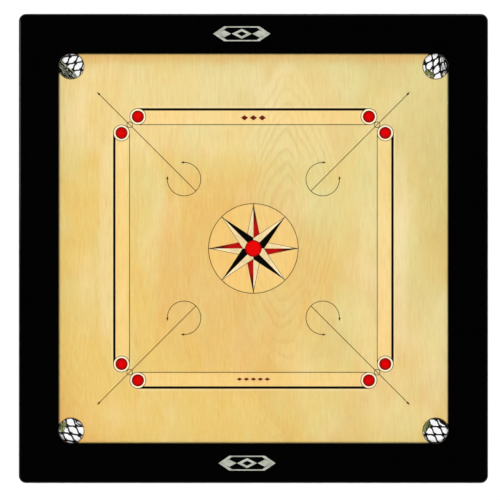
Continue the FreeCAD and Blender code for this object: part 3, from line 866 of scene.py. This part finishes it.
def gathered(cords, rnd, heading, distances, half, count, heights, radius, look):
    """Draws one bunch: cords side by side that cross over each other."""
    out = Vector((math.cos(heading), math.sin(heading), 0.0))
    along = Vector((-out.y, out.x, 0.0))
    near, far = distances
    low, high = heights
    for k in range(count):
        distance = near + (far - near) * (k + rnd.uniform(0.2, 0.8)) / count
        reach = math.sqrt(max((NET_RIM_RADIUS - 1.5 * MM) ** 2 - distance ** 2, 0.0))
        looped = reach > half
        reach = min(reach, half) * rnd.uniform(0.8, 1.0)
        width = rnd.uniform(1.2, 2.6) * MM if looped else 0.0
        slow, slow_phase = rnd.choice((1, 2)), rnd.uniform(0, TAU)
        fast, fast_phase = rnd.choice((3, 4, 5)), rnd.uniform(0, TAU)
        height = low + (high - low) * rnd.uniform(0.0, 1.0)
        shift = rnd.uniform(-1.0, 1.0) * (2.0 * MM if looped else 0.0)
        steps = 40 if looped else 26
        line = []
        for n in range(steps):
            # a slack mesh is a flattened loop, a full one reaches from rim to rim and rises at both ends
            a = TAU * n / steps if looped else math.pi * n / (steps - 1)
            aside = 1.3 * math.sin(slow * a + slow_phase) + 0.7 * math.sin(fast * a + fast_phase)
            z = height + 1.5 * MM * math.sin(fast * a + slow_phase)
            if not looped:
                z += 5.0 * MM * math.cos(a) ** 4
            place = out * (distance + aside * MM + width * math.sin(a))
            place += along * (shift - reach * math.cos(a))
            line.append(Vector((place.x, place.y, z)))
        if not looped:
            line = smooth_line(line, 1.0 * MM)
        cords.twist(line, radius * rnd.uniform(0.8, 1.2), CORD_PITCH * 0.6, rnd.uniform(0, TAU),
                    closed=looped, look=look, around=8)


def build_net(corner, seed, turn, shift, pull, bunches):
    """Drapes one net, draws its knotted cords on it and gathers its slack.

    The pattern is turned by degrees and shifted by millimetres, and the floor is pulled aside by millimetres.
    """
    net = Net(seed, [v * MM for v in pull])
    rnd = random.Random(seed + 100)
    cords = Cords()
    runs, knots = net.pattern(math.radians(turn), [v * MM for v in shift])
    for run in runs:
        line = smooth_line(run, LINE_STEP)
        cords.twist(line, CORD_RADIUS * rnd.uniform(0.95, 1.1), CORD_PITCH, rnd.uniform(0, TAU))
    for place, along in knots:
        if along.length > 1e-6:
            cords.knot(place, along, CORD_RADIUS * rnd.uniform(1.7, 2.0), rnd.choice((1.5, 2.0)))

    # the draw cord that the staples hold, a little wavy between them
    rim = []
    for n in range(RIM_STEPS):
        a = TAU * n / RIM_STEPS
        wave = 0.35 * MM * math.sin(8 * a + seed) + 0.25 * MM * math.sin(3 * a + seed * 2)
        out = NET_RIM_RADIUS + wave - 0.4 * MM
        height = NET_RIM_Z - 1.5 * MM + 0.3 * MM * math.sin(5 * a)
        rim.append(Vector((out * math.cos(a), out * math.sin(a), height)))
    cords.twist(rim, 1.4 * MM, TAU * NET_RIM_RADIUS / RIM_TURNS, closed=True)
    for one in bunches:
        gathered(cords, rnd, **one)

    across, along = CORNERS[corner]
    centre = Vector((across * POCKET_PLACE_MM * MM, along * POCKET_PLACE_MM * MM, 0.0))
    made = cords.piece("net_" + corner, centre, [black_cord, olive_cord, green_cord])
    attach(made, "root")
    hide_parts("pocket_net_" + corner)


# ---------------------------------------------------------------- looks on the CAD nodes


def dress(node, material):
    """Gives a CAD node its material."""
    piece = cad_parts[node]
    if not piece.material_slots:
        piece.data.materials.append(material)
    for slot in piece.material_slots:
        slot.material = material


rails = {"lengthwise": lacquered_rail_material(True), "crosswise": lacquered_rail_material(False)}
pine_light, pine_dark = linear(214, 176, 120), linear(184, 138, 84)
beech_light, beech_dark = linear(206, 158, 106), linear(170, 116, 70)
pine = {
    "lengthwise": raw_wood_material("pine_lengthwise", "y", 1.0, pine_light, pine_dark),
    "crosswise": raw_wood_material("pine_crosswise", "x", 4.0, pine_light, pine_dark),
}
cleat_wood = {
    "lengthwise": raw_wood_material("cleat_lengthwise", "y", 7.0, beech_light, beech_dark),
    "crosswise": raw_wood_material("cleat_crosswise", "x", 9.0, beech_light, beech_dark),
}
spline_wood = raw_wood_material("spline_wood", "diagonal", 12.0, beech_light, beech_dark)
way_of = {"right": "lengthwise", "left": "lengthwise", "back": "crosswise", "front": "crosswise"}

dress("playing_panel", playing_panel_material())
for side in SIDES:
    dress("frame_rail_" + side, rails[way_of[side]])
    dress("panel_cleat_" + side, cleat_wood[way_of[side]])
for corner in CORNERS:
    dress("mitre_spline_" + corner, spline_wood)
for batten in ("lengthwise_left", "lengthwise_right", "crosswise_front", "crosswise_back"):
    dress("batten_" + batten, pine[batten.split("_")[0]])
zinc = screw_material()
for node in ("batten_screws", "cleat_screws"):
    dress(node, zinc)
dress("net_staples", wire_material())

black_ink = ink_material("black_ink", linear(7, 5, 3))
for node in ("base_lines_bold", "star_black"):
    dress(node, black_ink)
fine_ink = ink_material("fine_black_ink", linear(20, 14, 3))
for node in ("base_lines_fine", "base_circles", "gap_circles", "corner_arrows", "outer_circle",
             "star_outlines"):
    dress(node, fine_ink)
dress("base_discs", ink_material("red_ink_spots", linear(213, 2, 2), (linear(84, 3, 3), disc_edge)))
dress("centre_disc", ink_material("red_ink_middle", linear(223, 2, 2), (linear(96, 3, 3), middle_edge)))
dress("star_red", ink_material("red_ink_star", linear(172, 16, 11), (linear(22, 5, 3), arm_shade)))
cream_ink = ink_material("cream_ink", linear(223, 199, 149),
                         (linear(239, 222, 179), arm_light), (linear(46, 36, 20), arm_point))
dress("star_pale", cream_ink)
maroon_ink = ink_material("maroon_ink", linear(104, 22, 14))
for node in ("base_ornament_back", "base_ornament_front"):
    dress(node, maroon_ink)
silver = silver_ink_material()
for node in ("rail_emblem_back", "rail_emblem_front"):
    dress(node, silver)

black_cord = cord_material("black_net_cord", linear(1, 2, 1), linear(9, 10, 8), linear(34, 37, 26),
                           gloss=0.12, sheen=0.06)
olive_cord = cord_material("dusty_net_cord", linear(96, 102, 70), linear(190, 194, 158),
                           linear(246, 248, 232))
green_cord = cord_material("green_net_cord", linear(92, 102, 38), linear(164, 172, 96),
                           linear(226, 228, 176))

NETS = {
    "back_left": {"seed": 11, "turn": 40, "shift": (4, 3), "pull": (3.0, 2.5), "bunches": [
        bunch(222, distances=(5, 24), half=30, count=8, heights=(4, 14), radius=0.9, look=OLIVE),
        bunch(222, distances=(5, 23), half=30, count=9, heights=(6, 14), radius=1.05, look=BLACK)]},
    "back_right": {"seed": 12, "turn": 62, "shift": (-4, 1), "pull": (-3.5, -1.0), "bunches": [
        bunch(8, distances=(10, 24), half=30, count=5, heights=(4, 14), radius=0.9, look=BLACK),
        bunch(232, distances=(13, 21), half=9, count=7, heights=(3, 9), radius=0.8, look=GREEN),
        bunch(232, distances=(12, 20), half=9, count=2, heights=(3, 9), radius=0.7, look=BLACK)]},
    "front_left": {"seed": 13, "turn": -36, "shift": (1, -2), "pull": (-2.0, -2.5), "bunches": [
        bunch(47, distances=(20, 25), half=12, count=3, heights=(9, 14), radius=1.2, look=BLACK),
        bunch(160, distances=(15, 22), half=9, count=7, heights=(3, 12), radius=0.8, look=GREEN),
        bunch(160, distances=(14, 22), half=9, count=2, heights=(3, 12), radius=0.7, look=BLACK)]},
    "front_right": {"seed": 14, "turn": -34, "shift": (2, -3), "pull": (-2.5, -2.0), "bunches": [
        bunch(47, distances=(20, 25), half=13, count=3, heights=(9, 14), radius=1.2, look=BLACK),
        bunch(158, distances=(15, 22), half=9, count=7, heights=(3, 12), radius=0.8, look=GREEN),
        bunch(158, distances=(14, 22), half=9, count=2, heights=(3, 12), radius=0.7, look=BLACK)]},
}
floor_for_nets = catch_floor()
for corner, facts in NETS.items():
    build_net(corner, **facts)
if floor_for_nets:
    bpy.data.objects.remove(floor_for_nets)

# ---------------------------------------------------------------- floor, light and camera

WORLD_STRENGTH = 0.45
SKY = [(0.0, 0.98), (0.25, 0.62), (0.62, 0.34), (0.86, 0.04), (1.0, 0.002)]     # how far up, how bright
BACKDROP = 2.2                  # the room's brightness where the camera looks straight at it
SUN_ENERGY = 3.36
SUN_WIDTH = math.radians(12)
LENS_MM = 200.0
CAMERA_PLACE = (-0.00645, -0.0029, 5.298)       # frames the board as the photo does, a little off its middle


def make_floor():
    """The pale ground that the board lies on."""
    made = square_plane("floor", 10.0, 0.0)
    s = Shade("pale_floor", Roughness=0.75, Specular_IOR_Level=0.2)
    x, y, _ = s.place()
    mottle = s.noise(x / 900, y / 900, 0.0, detail=3.0)
    s.color(s.mix(mottle, linear(240, 240, 240), linear(245, 245, 245)))
    made.data.materials.append(s.material)


def make_world():
    """A pale room: bright at the horizon and dark overhead, so that lacquer seen from above stays black."""
    world = bpy.data.worlds.new("room")
    bpy.context.scene.world = world
    world.use_nodes = True
    tree = world.node_tree
    tree.nodes.clear()
    out = tree.nodes.new("ShaderNodeOutputWorld")
    background = tree.nodes.new("ShaderNodeBackground")
    tree.links.new(background.outputs[0], out.inputs["Surface"])
    coords = tree.nodes.new("ShaderNodeTexCoord")
    split = tree.nodes.new("ShaderNodeSeparateXYZ")
    tree.links.new(coords.outputs["Generated"], split.inputs[0])
    ramp = tree.nodes.new("ShaderNodeValToRGB")
    tree.links.new(split.outputs[2], ramp.inputs[0])
    elements = ramp.color_ramp.elements
    elements[0].position, elements[1].position = SKY[0][0], SKY[-1][0]
    for position, _ in SKY[1:-1]:
        elements.new(position)
    for element, (_, value) in zip(elements, SKY):
        element.color = (value, value, value, 1.0)
    rays = tree.nodes.new("ShaderNodeLightPath")
    seen = tree.nodes.new("ShaderNodeMix")
    seen.data_type = "RGBA"
    tree.links.new(rays.outputs["Is Camera Ray"], seen.inputs[0])
    tree.links.new(ramp.outputs[0], seen.inputs[6])
    seen.inputs[7].default_value = (BACKDROP, BACKDROP, BACKDROP, 1.0)
    tree.links.new(seen.outputs[2], background.inputs["Color"])
    background.inputs["Strength"].default_value = WORLD_STRENGTH


def make_sun():
    """Soft light from straight overhead, broad enough to blur the rails' short shadows."""
    data = bpy.data.lights.new("overhead", "SUN")
    data.energy = SUN_ENERGY
    data.angle = SUN_WIDTH
    lamp = bpy.data.objects.new("overhead", data)
    bpy.context.scene.collection.objects.link(lamp)
    lamp.rotation_euler = (math.radians(1.0), math.radians(-1.0), 0.0)
    # kept out of mirror-like reflections: its disc would burn out the lacquer
    lamp.visible_glossy = False


def make_softbox(name, place, width, height, power):
    """A broad soft lamp that faces the board's middle."""
    data = bpy.data.lights.new(name, "AREA")
    data.shape = "RECTANGLE"
    data.size, data.size_y = width, height
    data.energy = power
    lamp = bpy.data.objects.new(name, data)
    bpy.context.scene.collection.objects.link(lamp)
    lamp.location = place
    lamp.rotation_euler = (-Vector(place)).to_track_quat("-Z", "Y").to_euler()


def make_camera():
    """Straight above the board, through a long lens that looks down past the rails' inner walls."""
    data = bpy.data.cameras.new("camera")
    data.lens = LENS_MM
    data.sensor_width = 36.0
    data.clip_start, data.clip_end = 0.05, 60.0
    made = bpy.data.objects.new("camera", data)
    bpy.context.scene.collection.objects.link(made)
    made.location = CAMERA_PLACE
    bpy.context.scene.camera = made


make_floor()
make_world()
make_sun()
make_softbox("left_softbox", (-3.4, 0.6, 2.6), 0.9, 2.4, 16.0)
make_softbox("back_softbox", (0.8, 3.6, 2.4), 2.4, 0.8, 14.0)
make_camera()
bpy.context.scene.view_settings.view_transform = "Standard"
bpy.context.scene.view_settings.look = "None"
